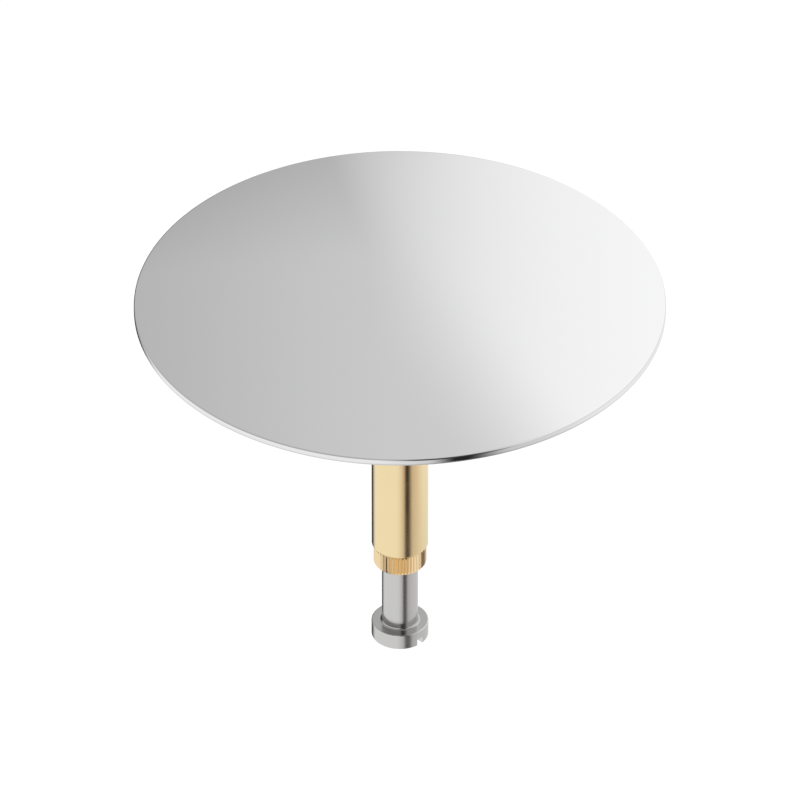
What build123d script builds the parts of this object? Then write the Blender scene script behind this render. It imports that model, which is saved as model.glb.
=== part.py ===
from build123d import *
import os
from math import cos, pi, radians, sin

# Adjustable drain plug in millimetres. The origin is on the plug's axis, in the plane
# of the cover's underside, and +Z points up out of the drain.

# Cover
COVER_DIAMETER = 72.0
COVER_THICKNESS = 1.0
COVER_EDGE_BREAK = 0.25

# Metric thread M5, drawn as plain cylinders: the male side at its major diameter and
# the female side wider by a running clearance all round
THREAD_DIAMETER = 5.0
THREAD_CLEARANCE = 0.05
THREAD_LEAD_IN = 0.5
BORE_COUNTERSINK = 0.35

# Stud fixed to the cover
STUD_LENGTH = 16.5
STUD_FLANGE_DIAMETER = 6.5
STUD_FLANGE_THICKNESS = 0.8

# Flat gasket between the cover and the carrier
GASKET_DIAMETER = 40.0
GASKET_HOLE_DIAMETER = 7.2
GASKET_THICKNESS = 1.0

# Moulded carrier of the seal
CARRIER_DIAMETER = 42.0
CARRIER_LOWER_DIAMETER = 39.2
CARRIER_HOLE_DIAMETER = 5.4
CARRIER_WEB = 1.4
CARRIER_WALL = 1.6
CARRIER_EDGE_BREAK = 0.4
GROOVE_DIAMETER = 36.0
GROOVE_HEIGHT = 2.2
HUB_TOP_DIAMETER = 14.4
HUB_END_DIAMETER = 13.4
HUB_LENGTH = 6.6
RIB_COUNT = 12
RIB_THICKNESS = 1.2
RIB_SETBACK = 0.6
RIB_ROOT = 0.3

# Lip seal
BEAD_DIAMETER = 41.0
SEAL_SHOULDER = 0.6
LIP_DIAMETER = 48.8
LIP_DROP = 4.0
LIP_BEND = 0.35
LIP_THICKNESS = 0.8
LIP_TIP_THICKNESS = 0.6

# Washer under the carrier's hub
WASHER_DIAMETER = 15.0
WASHER_HOLE_DIAMETER = 5.3
WASHER_THICKNESS = 1.0
WASHER_EDGE_BREAK = 0.15

# Sleeve
SLEEVE_DIAMETER = 7.8
SLEEVE_END = -39.75
SLEEVE_CHAMFER = 0.2

# Knurled nut
NUT_DIAMETER = 7.3
NUT_HEIGHT = 3.2
NUT_CHAMFER = 0.3
KNURL_PITCH = 0.5
KNURL_DEPTH = KNURL_PITCH / 2

# Adjusting screw
HEAD_DIAMETER = 7.9
HEAD_HEIGHT = 2.35
HEAD_EDGE_BREAK = 0.12
HEAD_NECK = 0.4
HEAD_GAP = 10.1
SCREW_LENGTH = 25.0
SLOT_WIDTH = 1.0
SLOT_DEPTH = 1.0
SLOT_ANGLE = -45.0

# Heights that follow from the dimensions above
CARRIER_TOP = -GASKET_THICKNESS
GROOVE_TOP = CARRIER_TOP - CARRIER_WEB
GROOVE_BOTTOM = GROOVE_TOP - GROOVE_HEIGHT
CARRIER_RIM_BOTTOM = GROOVE_BOTTOM - CARRIER_WEB
HUB_BOTTOM = GROOVE_TOP - HUB_LENGTH
SLEEVE_TOP = HUB_BOTTOM - WASHER_THICKNESS
NUT_BOTTOM = SLEEVE_END - NUT_HEIGHT
HEAD_TOP = NUT_BOTTOM - HEAD_GAP
HEAD_BOTTOM = HEAD_TOP - HEAD_HEIGHT

THREAD_RADIUS = THREAD_DIAMETER / 2
BORE_RADIUS = THREAD_RADIUS + THREAD_CLEARANCE


def turned(*outline):
    """Solid of revolution about Z from the points (radius, height) of half its section."""
    return revolve(Plane.XZ * make_face(Polyline(*outline, close=True)), axis=Axis.Z)


def flat_ring(diameter, hole_diameter, top, thickness, edge_break=0.0):
    """Flat ring whose outer edges may be broken."""
    outer = diameter / 2
    inner = hole_diameter / 2
    bottom = top - thickness
    if edge_break == 0.0:
        return turned((inner, top), (outer, top), (outer, bottom), (inner, bottom))
    return turned(
        (inner, top),
        (outer - edge_break, top),
        (outer, top - edge_break),
        (outer, bottom + edge_break),
        (outer - edge_break, bottom),
        (inner, bottom),
    )


def tapped_bore(top, bottom):
    """Cutter for a threaded bore with a countersink at each end."""
    wide = BORE_RADIUS + BORE_COUNTERSINK
    return turned(
        (0, top),
        (wide, top),
        (BORE_RADIUS, top - BORE_COUNTERSINK),
        (BORE_RADIUS, bottom + BORE_COUNTERSINK),
        (wide, bottom),
        (0, bottom),
    )


def cover_plate():
    """Thin round cover, its rim broken above and below."""
    return flat_ring(COVER_DIAMETER, 0, COVER_THICKNESS, COVER_THICKNESS, COVER_EDGE_BREAK)


def cover_stud():
    """Threaded stud with the flange that fixes it to the cover."""
    flange = STUD_FLANGE_DIAMETER / 2
    return turned(
        (0, 0),
        (flange, 0),
        (flange, -STUD_FLANGE_THICKNESS),
        (THREAD_RADIUS, -STUD_FLANGE_THICKNESS),
        (THREAD_RADIUS, -STUD_LENGTH + THREAD_LEAD_IN),
        (THREAD_RADIUS - THREAD_LEAD_IN, -STUD_LENGTH),
        (0, -STUD_LENGTH),
    )


def cover_gasket():
    """Flat rubber ring round the stud's flange."""
    return flat_ring(GASKET_DIAMETER, GASKET_HOLE_DIAMETER, 0, GASKET_THICKNESS)


def carrier_rib(wall_radius):
    """One tapered rib under the carrier, from its hub to its outer wall."""
    hub = HUB_END_DIAMETER / 2 - RIB_ROOT
    outline = Polyline(
        (hub, GROOVE_TOP + RIB_ROOT),
        (wall_radius + RIB_ROOT, GROOVE_TOP + RIB_ROOT),
        (wall_radius + RIB_ROOT, CARRIER_RIM_BOTTOM + RIB_SETBACK),
        (hub, HUB_BOTTOM + RIB_SETBACK),
        close=True,
    )
    return extrude(Plane.XZ * make_face(outline), RIB_THICKNESS / 2, both=True)


def seal_carrier():
    """Moulded dish: groove for the seal, hub round the stud, ribs below."""
    bore = CARRIER_HOLE_DIAMETER / 2
    wall = GROOVE_DIAMETER / 2 - CARRIER_WALL
    dish = turned(
        (bore, CARRIER_TOP),
        (CARRIER_DIAMETER / 2, CARRIER_TOP),
        (CARRIER_DIAMETER / 2, GROOVE_TOP),
        (GROOVE_DIAMETER / 2, GROOVE_TOP),
        (GROOVE_DIAMETER / 2, GROOVE_BOTTOM),
        (CARRIER_LOWER_DIAMETER / 2, GROOVE_BOTTOM),
        (CARRIER_LOWER_DIAMETER / 2, CARRIER_RIM_BOTTOM),
        (wall, CARRIER_RIM_BOTTOM),
        (wall, GROOVE_TOP),
        (HUB_TOP_DIAMETER / 2, GROOVE_TOP),
        (HUB_END_DIAMETER / 2, HUB_BOTTOM),
        (bore, HUB_BOTTOM),
    )
    circles = dish.edges().filter_by(GeomType.CIRCLE)
    rims = circles.filter_by(lambda edge: edge.radius > GROOVE_DIAMETER / 2 + CARRIER_EDGE_BREAK)
    dish = chamfer([rims.sort_by(Axis.Z)[0], rims.sort_by(Axis.Z)[-1]], CARRIER_EDGE_BREAK)
    ribs = PolarLocations(0, RIB_COUNT) * carrier_rib(wall)
    return dish + ribs


def profile_seal():
    """Rubber ring: a bead in the carrier's groove and a bent lip that flares down and out."""
    groove = GROOVE_DIAMETER / 2
    bead = BEAD_DIAMETER / 2
    shoulder = bead + SEAL_SHOULDER
    tip = LIP_DIAMETER / 2
    tip_height = GROOVE_TOP - LIP_DROP
    bend_radius = (shoulder + tip) / 2 + LIP_BEND
    bend_height = (GROOVE_TOP + tip_height) / 2 + LIP_BEND
    return turned(
        (groove, GROOVE_TOP),
        (shoulder, GROOVE_TOP),
        (bend_radius, bend_height),
        (tip, tip_height),
        (tip - LIP_TIP_THICKNESS, tip_height - LIP_TIP_THICKNESS / 2),
        (bend_radius - LIP_THICKNESS, bend_height - LIP_THICKNESS),
        (bead, GROOVE_BOTTOM),
        (groove, GROOVE_BOTTOM),
    )


def clamp_washer():
    """Flat washer between the carrier's hub and the sleeve."""
    return flat_ring(
        WASHER_DIAMETER, WASHER_HOLE_DIAMETER, HUB_BOTTOM, WASHER_THICKNESS, WASHER_EDGE_BREAK
    )


def stem_sleeve():
    """Brass sleeve, tapped right through: the stud enters above and the screw below."""
    outer = SLEEVE_DIAMETER / 2
    bar = turned(
        (0, SLEEVE_TOP),
        (outer - SLEEVE_CHAMFER, SLEEVE_TOP),
        (outer, SLEEVE_TOP - SLEEVE_CHAMFER),
        (outer, SLEEVE_END + SLEEVE_CHAMFER),
        (outer - SLEEVE_CHAMFER, SLEEVE_END),
        (0, SLEEVE_END),
    )
    return bar - tapped_bore(SLEEVE_TOP, SLEEVE_END)


def knurl_outline():
    """Closed outline of straight V teeth at the knurl's pitch."""
    tooth_count = round(pi * NUT_DIAMETER / KNURL_PITCH)
    tip = NUT_DIAMETER / 2
    root = tip - KNURL_DEPTH
    corners = []
    for half_step in range(2 * tooth_count):
        radius = tip if half_step % 2 == 0 else root
        angle = radians(half_step * 180 / tooth_count)
        corners.append((radius * cos(angle), radius * sin(angle)))
    return Polyline(*corners, close=True)


def lock_nut():
    """Round nut with straight knurling, chamfered at both ends."""
    outer = NUT_DIAMETER / 2
    teeth = extrude(Pos(0, 0, NUT_BOTTOM) * make_face(knurl_outline()), NUT_HEIGHT)
    blank = turned(
        (0, SLEEVE_END),
        (outer - NUT_CHAMFER, SLEEVE_END),
        (outer, SLEEVE_END - NUT_CHAMFER),
        (outer, NUT_BOTTOM + NUT_CHAMFER),
        (outer - NUT_CHAMFER, NUT_BOTTOM),
        (0, NUT_BOTTOM),
    )
    return (teeth & blank) - tapped_bore(SLEEVE_END, NUT_BOTTOM)


def adjusting_screw():
    """M5 screw with a low slotted head that the drain's lift pushes on."""
    head = HEAD_DIAMETER / 2
    end = HEAD_TOP + SCREW_LENGTH
    blank = turned(
        (0, end),
        (THREAD_RADIUS - THREAD_LEAD_IN, end),
        (THREAD_RADIUS, end - THREAD_LEAD_IN),
        (THREAD_RADIUS, HEAD_TOP + HEAD_NECK),
        (THREAD_RADIUS + HEAD_NECK, HEAD_TOP),
        (head - HEAD_EDGE_BREAK, HEAD_TOP),
        (head, HEAD_TOP - HEAD_EDGE_BREAK),
        (head, HEAD_BOTTOM + HEAD_EDGE_BREAK),
        (head - HEAD_EDGE_BREAK, HEAD_BOTTOM),
        (0, HEAD_BOTTOM),
    )
    slot = Box(2 * HEAD_DIAMETER, SLOT_WIDTH, 2 * SLOT_DEPTH)
    return blank - Pos(0, 0, HEAD_BOTTOM) * Rot(0, 0, SLOT_ANGLE) * slot


PIECES = (
    cover_plate,
    cover_stud,
    cover_gasket,
    seal_carrier,
    profile_seal,
    clamp_washer,
    stem_sleeve,
    lock_nut,
    adjusting_screw,
)

os.makedirs("parts", exist_ok=True)
for piece in PIECES:
    export_step(piece(), f"parts/{piece.__name__}.step")
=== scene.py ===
"""Looks of an adjustable drain plug: a chromed cover over a lip seal, a brass stem and a steel screw."""

import logging
import math
from collections.abc import Sequence
from dataclasses import dataclass
from enum import Enum

import bmesh
import bpy
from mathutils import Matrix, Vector

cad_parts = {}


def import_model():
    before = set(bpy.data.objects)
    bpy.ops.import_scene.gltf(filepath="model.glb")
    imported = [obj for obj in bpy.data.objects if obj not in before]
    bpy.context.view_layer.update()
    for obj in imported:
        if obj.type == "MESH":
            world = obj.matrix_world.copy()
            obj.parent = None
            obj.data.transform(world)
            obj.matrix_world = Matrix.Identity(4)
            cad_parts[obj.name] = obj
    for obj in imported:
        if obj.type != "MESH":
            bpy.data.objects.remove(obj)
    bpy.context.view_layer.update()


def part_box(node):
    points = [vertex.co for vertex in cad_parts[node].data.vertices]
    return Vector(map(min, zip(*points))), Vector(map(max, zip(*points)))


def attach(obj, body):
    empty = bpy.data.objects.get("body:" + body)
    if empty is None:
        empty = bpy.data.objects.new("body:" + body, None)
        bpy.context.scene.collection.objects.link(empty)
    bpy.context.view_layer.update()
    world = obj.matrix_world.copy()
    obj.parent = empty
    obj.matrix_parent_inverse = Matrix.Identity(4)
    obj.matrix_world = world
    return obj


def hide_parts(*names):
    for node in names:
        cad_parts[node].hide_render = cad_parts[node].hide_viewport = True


LOG = logging.getLogger("drain_plug")
MM = 0.001
FULL_TURN = 2 * math.pi
WEAR_ATTRIBUTE = "edge"

Point = tuple[float, float]
Colour = tuple[float, float, float]
Socket = bpy.types.NodeSocket
Source = Socket | float | tuple[float, ...]

WHITE: Colour = (1.0, 1.0, 1.0)


class Body(Enum):
    """The bodies of the plug that move apart."""

    PLUG = "plug"
    NUT = "lock_nut"
    SCREW = "adjusting_screw"


class Grain(Enum):
    """Which way the marks of a lathe tool run across a turned piece."""

    WALL = "along the height of its walls"
    FACE = "across the radius of its faces"


@dataclass(frozen=True)
class Corner:
    """A corner of a turned outline, with the radius that rounds it off."""

    radius: float
    height: float
    rounding: float = 0.0

    def place(self) -> Vector:
        """Give the corner's place in the plane of the outline."""
        return Vector((self.radius, self.height))


@dataclass(frozen=True)
class Outline:
    """Half the section of a turned piece, as corners in order.

    A closed outline runs round a ring with a hole, and an open one starts and ends on the axis.
    """

    corners: tuple[Corner, ...]
    closed: bool
    arc_steps: int = 6
    support: float = 0.06 * MM

    def points(self) -> list[Point]:
        """Round the corners off and hold the long faces flat right up to them.

        Returns:
            The outline's points (radius, height), in metres.
        """
        drawn: list[Vector] = []
        count = len(self.corners)
        for index, corner in enumerate(self.corners):
            at_end = not self.closed and index in (0, count - 1)
            if corner.rounding == 0.0 or at_end:
                drawn.append(corner.place())
                continue
            before = self.corners[index - 1].place()
            after = self.corners[(index + 1) % count].place()
            drawn.extend(self._arc(before, corner, after))
        return self._supported(drawn)

    def _arc(self, before: Vector, corner: Corner, after: Vector) -> list[Vector]:
        """Draw the arc that rounds one corner off.

        Args:
            before: The corner before it.
            corner: The corner itself.
            after: The corner after it.

        Returns:
            The arc's points, from the side of the corner before.
        """
        place = corner.place()
        back = (before - place).normalized()
        ahead = (after - place).normalized()
        half_angle = back.angle(ahead) / 2
        reach = corner.rounding / math.tan(half_angle)
        centre = place + (back + ahead).normalized() * corner.rounding / math.sin(half_angle)
        first = place + back * reach - centre
        last = place + ahead * reach - centre
        sweep = first.angle_signed(last)
        arc = []
        for step in range(self.arc_steps + 1):
            turn_by = sweep * step / self.arc_steps
            cosine = math.cos(turn_by)
            sine = math.sin(turn_by)
            arc.append(
                centre
                + Vector((first.x * cosine + first.y * sine, first.y * cosine - first.x * sine))
            )
        return arc

    def _supported(self, drawn: Sequence[Vector]) -> list[Point]:
        """Add a point near both ends of each long stretch, so that its shading stays flat.

        Args:
            drawn: The outline's points so far.

        Returns:
            All the outline's points as plain pairs.
        """
        result: list[Point] = []
        count = len(drawn)
        for index, start in enumerate(drawn):
            result.append((start.x, start.y))
            if index == count - 1 and not self.closed:
                break
            end = drawn[(index + 1) % count]
            length = (end - start).length
            if length > 4 * self.support:
                along = (end - start) / length * self.support
                result.append(tuple(start + along))
                result.append(tuple(end - along))
        return result


def rows_between(high: float, low: float, spacing: float) -> list[float]:
    """List evenly spaced heights from one height down to another.

    Args:
        high: The first height, in metres.
        low: The last height, in metres.
        spacing: About how far apart the heights are, in metres.

    Returns:
        The heights, both ends included.
    """
    steps = max(1, round((high - low) / spacing))
    return [high + (low - high) * step / steps for step in range(steps + 1)]


def new_piece(name: str, mesh_maker: bmesh.types.BMesh) -> bpy.types.Object:
    """Make an object of a finished bmesh, at the origin, with its faces pointing outwards.

    Args:
        name: The piece's name.
        mesh_maker: The bmesh, which is freed.

    Returns:
        The new object, linked to the scene.
    """
    bmesh.ops.recalc_face_normals(mesh_maker, faces=mesh_maker.faces)
    mesh = bpy.data.meshes.new(name)
    mesh_maker.to_mesh(mesh)
    mesh_maker.free()
    piece = bpy.data.objects.new(name, mesh)
    bpy.context.scene.collection.objects.link(piece)
    return piece


def turned(name: str, points: Sequence[Point], closed: bool, segments: int) -> bpy.types.Object:
    """Turn an outline about the plug's axis.

    Args:
        name: The piece's name.
        points: The outline's points (radius, height), in metres.
        closed: Whether the outline closes round a ring.
        segments: How many steps make a full turn.

    Returns:
        The turned piece.
    """
    maker = bmesh.new()
    rings = []
    for radius, height in points:
        stations = segments if radius > 0 else 1
        ring = []
        for station in range(stations):
            angle = FULL_TURN * station / stations
            ring.append(maker.verts.new((radius * math.cos(angle), radius * math.sin(angle), height)))
        rings.append(ring)
    pairs = list(zip(rings, rings[1:]))
    if closed:
        pairs.append((rings[-1], rings[0]))
    for first, second in pairs:
        for station in range(segments):
            ahead = (station + 1) % segments
            loop = (
                first[station % len(first)],
                first[ahead % len(first)],
                second[ahead % len(second)],
                second[station % len(second)],
            )
            maker.faces.new(dict.fromkeys(loop))
    return new_piece(name, maker)


def settle(piece: bpy.types.Object) -> None:
    """Make a piece's live modifiers part of its plain mesh.

    Args:
        piece: The piece, whose modifiers are removed.
    """
    graph = bpy.context.evaluated_depsgraph_get()
    mesh = bpy.data.meshes.new_from_object(piece.evaluated_get(graph))
    piece.modifiers.clear()
    old = piece.data
    piece.data = mesh
    mesh.name = piece.name
    bpy.data.meshes.remove(old)


def combine(piece: bpy.types.Object, tool: bpy.types.Object, operation: str) -> None:
    """Join a second solid to a piece or cut it out of the piece, and remove it.

    Args:
        piece: The piece that stays.
        tool: The solid that is used up.
        operation: UNION or DIFFERENCE.
    """
    change = piece.modifiers.new("combine", "BOOLEAN")
    change.operation = operation
    change.solver = "EXACT"
    change.object = tool
    settle(piece)
    bpy.data.objects.remove(tool)


def soften_edges(piece: bpy.types.Object, width: float, over_angle: float) -> None:
    """Bevel the edges of a piece that turn by more than an angle.

    Args:
        piece: The piece.
        width: The bevel's width, in metres.
        over_angle: The angle, in degrees.
    """
    bevel = piece.modifiers.new("soften", "BEVEL")
    bevel.width = width
    bevel.segments = 2
    bevel.limit_method = "ANGLE"
    bevel.angle_limit = math.radians(over_angle)
    settle(piece)


def shade(piece: bpy.types.Object, sharp_over: float) -> None:
    """Smooth a piece's faces except over sharp edges, and store where its edges wear.

    Args:
        piece: The piece, its shape finished.
        sharp_over: The angle over which an edge stays sharp, in degrees.
    """
    wear_radius = 0.12 * MM
    mesh = piece.data
    maker = bmesh.new()
    maker.from_mesh(mesh)
    layer = maker.verts.layers.float.get(WEAR_ATTRIBUTE) or maker.verts.layers.float.new(WEAR_ATTRIBUTE)
    for edge in maker.edges:
        if len(edge.link_faces) != 2:
            continue
        bend = edge.calc_face_angle_signed()
        if bend <= 0:
            continue
        first, second = (face.calc_center_median() for face in edge.link_faces)
        spread = max(min((first - second).length, wear_radius), wear_radius / 10)
        wear = min(1.0, bend * wear_radius / spread)
        for corner in edge.verts:
            corner[layer] = max(corner[layer], wear)
    maker.to_mesh(mesh)
    maker.free()
    for face in mesh.polygons:
        face.use_smooth = True
    mesh.set_sharp_from_angle(angle=math.radians(sharp_over))


def dress(
    piece: bpy.types.Object,
    body: Body,
    node: str,
    finish: bpy.types.Material | None = None,
    sharp_over: float = 38.0,
) -> None:
    """Shade a shaped piece, give it its finish, hang it on its body and hide the solid that it replaces.

    Args:
        piece: The shaped piece.
        body: The body that it moves with.
        node: The solid that it replaces.
        finish: Its material, unless its shape rule gave it one.
        sharp_over: The angle over which an edge stays sharp, in degrees.
    """
    shade(piece, sharp_over)
    if finish is not None:
        piece.data.materials.append(finish)
    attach(piece, body.value)
    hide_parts(node)
    LOG.info("%s: %d faces on %s", piece.name, len(piece.data.polygons), body.value)


class Bench:
    """Places nodes in one node tree and joins them."""

    def __init__(self, tree: bpy.types.NodeTree) -> None:
        """Take up a tree.

        Args:
            tree: The tree that the nodes go into.
        """
        self.tree = tree

    def add(self, kind: str, **settings: object) -> bpy.types.Node:
        """Place a node.

        Args:
            kind: The node's type.
            **settings: Properties to set on it.

        Returns:
            The node.
        """
        node = self.tree.nodes.new(kind)
        for name, value in settings.items():
            setattr(node, name, value)
        return node

    def feed(self, target: Socket, source: Source) -> None:
        """Join a socket to another, or give it a constant value.

        Args:
            target: The input socket.
            source: An output socket or a constant.
        """
        if isinstance(source, Socket):
            self.tree.links.new(source, target)
        else:
            target.default_value = source

    def maths(self, operation: str, *values: Source, clamp: bool = False) -> Socket:
        """Work out one value.

        Args:
            operation: The Math node's operation.
            *values: Its inputs, in order.
            clamp: Whether the result is kept from 0 to 1.

        Returns:
            The result's socket.
        """
        node = self.add("ShaderNodeMath", operation=operation, use_clamp=clamp)
        for socket, value in zip(node.inputs, values):
            self.feed(socket, value)
        return node.outputs[0]

    def ramp(self, value: Source, low: float, high: float, start: float = 0.0, end: float = 1.0) -> Socket:
        """Ease a value from one end to another between two limits.

        Args:
            value: The value that drives the ramp.
            low: Where the ramp starts.
            high: Where it ends.
            start: What it gives at its start.
            end: What it gives at its end.

        Returns:
            The result's socket.
        """
        node = self.add("ShaderNodeMapRange", interpolation_type="SMOOTHSTEP")
        for name, source in (
            ("Value", value),
            ("From Min", low),
            ("From Max", high),
            ("To Min", start),
            ("To Max", end),
        ):
            self.feed(node.inputs[name], source)
        return node.outputs["Result"]

    def blend(self, share: Source, first: Source, second: Source) -> Socket:
        """Mix two values.

        Args:
            share: The second value's share.
            first: The first value.
            second: The second value.

        Returns:
            The result's socket.
        """
        node = self.add("ShaderNodeMix", data_type="FLOAT")
        for socket, source in zip(node.inputs[:1] + node.inputs[2:4], (share, first, second)):
            self.feed(socket, source)
        return node.outputs[0]

    def tint(self, share: Source, first: Source, second: Source) -> Socket:
        """Mix two colours.

        Args:
            share: The second colour's share.
            first: The first colour.
            second: The second colour.

        Returns:
            The result's socket.
        """
        node = self.add("ShaderNodeMix", data_type="RGBA")
        for socket, source in zip(node.inputs[:1] + node.inputs[6:8], (share, first, second)):
            self.feed(socket, source if isinstance(source, Socket | float) else opaque(source))
        return node.outputs[2]

    def split(self, vector: Source) -> tuple[Socket, Socket, Socket]:
        """Take a vector apart.

        Args:
            vector: The vector.

        Returns:
            Its three parts.
        """
        node = self.add("ShaderNodeSeparateXYZ")
        self.feed(node.inputs[0], vector)
        return node.outputs[0], node.outputs[1], node.outputs[2]

    def join(self, x: Source, y: Source, z: Source) -> Socket:
        """Put a vector together.

        Args:
            x: Its first part.
            y: Its second part.
            z: Its third part.

        Returns:
            The vector's socket.
        """
        node = self.add("ShaderNodeCombineXYZ")
        for socket, source in zip(node.inputs, (x, y, z)):
            self.feed(socket, source)
        return node.outputs[0]

    def distance(self, x: Source, y: Source) -> Socket:
        """Work out how far a place is from the axis.

        Args:
            x: Its first coordinate.
            y: Its second coordinate.

        Returns:
            The distance's socket.
        """
        squares = self.maths("ADD", self.maths("MULTIPLY", x, x), self.maths("MULTIPLY", y, y))
        return self.maths("SQRT", squares)

    def noise(self, vector: Source, scale: Source, detail: float = 2.0) -> Socket:
        """Read a soft noise.

        Args:
            vector: Where it is read.
            scale: How fine it is.
            detail: How many finer layers it has.

        Returns:
            The noise, from 0 to 1.
        """
        node = self.add("ShaderNodeTexNoise")
        for name, source in (("Vector", vector), ("Scale", scale), ("Detail", detail)):
            self.feed(node.inputs[name], source)
        return node.outputs[0]

    def effect(self, group: bpy.types.NodeTree, **values: Source) -> bpy.types.Node:
        """Place a node group with its own values.

        Args:
            group: The group.
            **values: Its inputs by name, with an underscore for each space.

        Returns:
            The group's node.
        """
        node = self.add("ShaderNodeGroup", node_tree=group)
        for name, value in values.items():
            self.feed(node.inputs[name.replace("_", " ")], value)
        return node


def fresh_bench(holder: bpy.types.Material | bpy.types.World) -> Bench:
    """Empty the node tree of a material or world and set up a bench on it.

    Args:
        holder: The material or world.

    Returns:
        The bench.
    """
    holder.use_nodes = True
    holder.node_tree.nodes.clear()
    return Bench(holder.node_tree)


def opaque(colour: Colour) -> tuple[float, float, float, float]:
    """Give a colour its alpha of 1."""
    return (*colour, 1.0)


def shader_group(
    name: str, inputs: Sequence[tuple[str, str, object]], outputs: Sequence[str]
) -> tuple[bpy.types.NodeTree, Bench, bpy.types.Node, bpy.types.Node]:
    """Start a shader node group with named inputs and outputs.

    Args:
        name: The group's name.
        inputs: Each input's name, socket type and default, or None for no default.
        outputs: The names of its float outputs.

    Returns:
        The group, a bench on it, its input node and its output node.
    """
    tree = bpy.data.node_groups.new(name, "ShaderNodeTree")
    for label, kind, default in inputs:
        socket = tree.interface.new_socket(label, in_out="INPUT", socket_type=kind)
        if default is not None:
            socket.default_value = default
    for label in outputs:
        tree.interface.new_socket(label, in_out="OUTPUT", socket_type="NodeSocketFloat")
    bench = Bench(tree)
    return tree, bench, bench.add("NodeGroupInput"), bench.add("NodeGroupOutput")


class Effects:
    """The surface effects that several finishes share, each built once."""

    def __init__(self) -> None:
        """Build the groups."""
        self.scratches = self._scratches()
        self.turning = self._turning()
        self.smudges = self._smudges()
        self.edge_wear = self._edge_wear()

    def _scratches(self) -> bpy.types.NodeTree:
        """Build fine straight scratches in three directions.

        Returns:
            A group that puts out how much of a scratch each place has.
        """
        inputs = (
            ("Vector", "NodeSocketVector", None),
            ("Scale", "NodeSocketFloat", 400.0),
            ("Sparseness", "NodeSocketFloat", 0.66),
        )
        tree, bench, given, result = shader_group("fine scratches", inputs, ("Mask",))
        stretch = 0.025
        edge = 0.05
        strongest: Source = 0.0
        for angle in (17.0, 74.0, 131.0):
            turned_by = bench.add("ShaderNodeMapping", vector_type="TEXTURE")
            turned_by.inputs["Rotation"].default_value = (0.0, 0.0, math.radians(angle))
            turned_by.inputs["Scale"].default_value = (1.0, 1.0 / stretch, 1.0)
            turned_by.inputs["Location"].default_value = (angle * MM, 0.0, 0.0)
            bench.feed(turned_by.inputs["Vector"], given.outputs["Vector"])
            streaks = bench.noise(turned_by.outputs[0], given.outputs["Scale"], 1.0)
            over = bench.maths("SUBTRACT", streaks, given.outputs["Sparseness"])
            strongest = bench.maths("MAXIMUM", strongest, bench.maths("DIVIDE", over, edge, clamp=True))
        bench.feed(result.inputs["Mask"], strongest)
        return tree

    def _turning(self) -> bpy.types.NodeTree:
        """Build the fine rings that a lathe tool leaves about the axis.

        Returns:
            A group that puts out the height of the rings and their uneven tone.
        """
        inputs = (
            ("Vector", "NodeSocketVector", None),
            ("Pitch", "NodeSocketFloat", 0.05 * MM),
            ("Face", "NodeSocketFloat", 0.0),
        )
        tree, bench, given, result = shader_group("turning marks", inputs, ("Height", "Tone"))
        x, y, z = bench.split(given.outputs["Vector"])
        radius = bench.distance(x, y)
        along = bench.blend(given.outputs["Face"], z, radius)
        sway = bench.noise(given.outputs["Vector"], 60.0, 1.0)
        position = bench.maths("DIVIDE", along, given.outputs["Pitch"])
        rings = bench.join(position, bench.maths("MULTIPLY", sway, 0.8), 0.0)
        bench.feed(result.inputs["Height"], bench.noise(rings, 1.0, 3.0))
        bench.feed(result.inputs["Tone"], bench.noise(rings, 0.13, 2.0))
        return tree

    def _smudges(self) -> bpy.types.NodeTree:
        """Build the broad uneven patches that handling leaves.

        Returns:
            A group that puts out how smudged each place is.
        """
        inputs = (
            ("Vector", "NodeSocketVector", None),
            ("Scale", "NodeSocketFloat", 90.0),
        )
        tree, bench, given, result = shader_group("smudges", inputs, ("Mask",))
        broad = bench.noise(given.outputs["Vector"], given.outputs["Scale"], 3.0)
        bench.feed(result.inputs["Mask"], bench.ramp(broad, 0.42, 0.72))
        return tree

    def _edge_wear(self) -> bpy.types.NodeTree:
        """Build the rubbed look of edges, broken up along them.

        Returns:
            A group that puts out how worn each place is.
        """
        inputs = (
            ("Vector", "NodeSocketVector", None),
            ("Edge", "NodeSocketFloat", 0.0),
            ("Scale", "NodeSocketFloat", 900.0),
            ("Evenness", "NodeSocketFloat", 0.5),
        )
        tree, bench, given, result = shader_group("edge wear", inputs, ("Mask",))
        patches = bench.noise(given.outputs["Vector"], given.outputs["Scale"], 3.0)
        lowest = bench.blend(given.outputs["Evenness"], patches, 0.3)
        over = bench.maths("SUBTRACT", given.outputs["Edge"], lowest)
        bench.feed(result.inputs["Mask"], bench.maths("MULTIPLY", over, 2.0, clamp=True))
        return tree


@dataclass(frozen=True)
class Surface:
    """A started material: its tree's bench, its shader and the patterns that all finishes have."""

    material: bpy.types.Material
    bench: Bench
    shader: bpy.types.Node
    coordinates: Socket
    smudges: Socket
    wear: Socket

    def rough(self, value: Source) -> None:
        """Set the roughness."""
        self.bench.feed(self.shader.inputs["Roughness"], value)

    def colour(self, value: Source) -> None:
        """Set the base colour."""
        self.bench.feed(self.shader.inputs["Base Color"], value)

    def rubbed(self, body: Source, share: float, edge_colour: Colour) -> Socket:
        """Work another colour into the edges that are rubbed.

        Args:
            body: The even surface's colour.
            share: How far the other colour takes over.
            edge_colour: The other colour.

        Returns:
            The colour's socket.
        """
        return self.bench.tint(self.bench.maths("MULTIPLY", self.wear, share), body, edge_colour)

    def raise_by(self, height: Source, depth: float) -> None:
        """Give the surface a fine relief.

        Args:
            height: The relief, from 0 to 1.
            depth: How high a relief of 1 stands, in metres.
        """
        bump = self.bench.add("ShaderNodeBump")
        bump.inputs["Strength"].default_value = 1.0
        bump.inputs["Distance"].default_value = depth
        self.bench.feed(bump.inputs["Height"], height)
        self.bench.feed(self.shader.inputs["Normal"], bump.outputs[0])


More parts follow.
